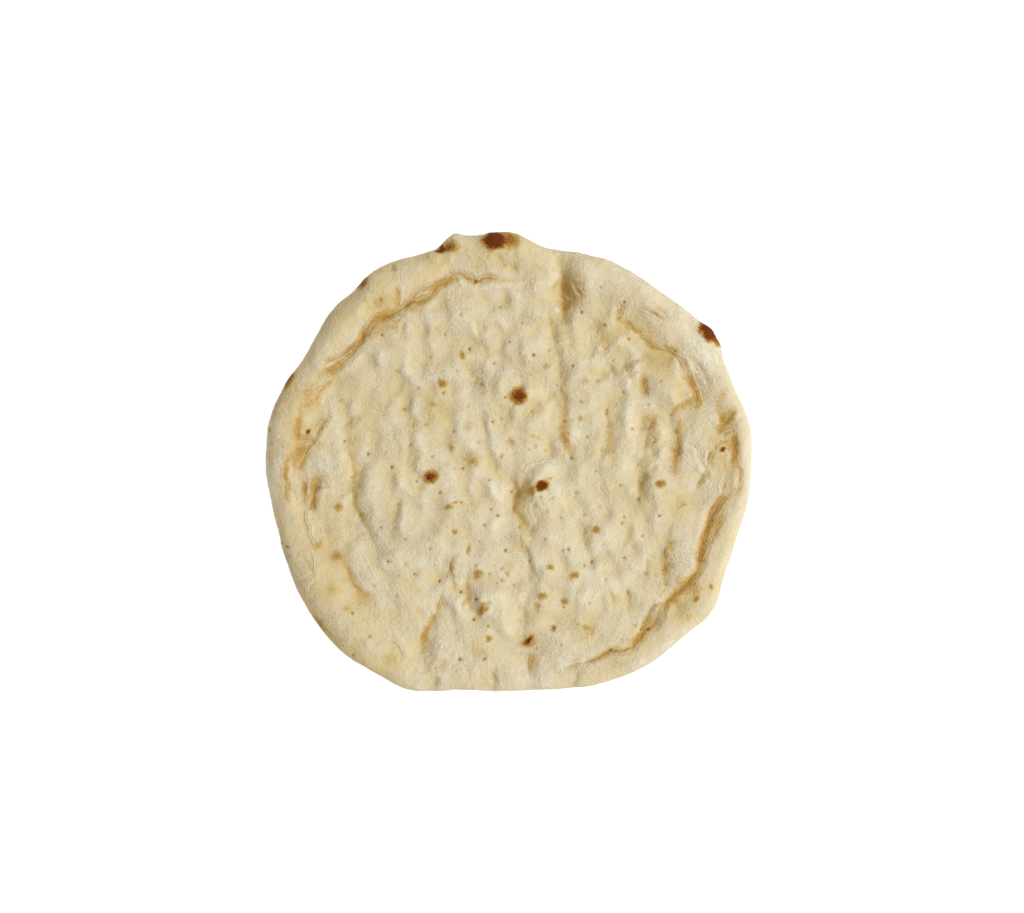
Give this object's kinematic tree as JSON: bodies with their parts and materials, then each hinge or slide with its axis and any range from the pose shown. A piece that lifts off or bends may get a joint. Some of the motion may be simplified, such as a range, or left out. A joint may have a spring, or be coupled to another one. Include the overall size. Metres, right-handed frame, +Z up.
{
  "type": "pita bread",
  "caption": "Round hand-stretched flatbread with a puffed rim, a creased and dimpled pale top with toasted blisters, and a flat underside.",
  "frame": {"origin": "on the surface that the bread lies on, under the middle of its outline's box", "axes": "+Z up out of the dimpled top, +X along the longest span, +Y across it"},
  "size_m": [0.1998, 0.189, 0.0127],
  "materials": {
    "crust": "matte"
  },
  "bodies": {
    "root": {"pita_bread": "crust"}
  },
  "joints": []
}
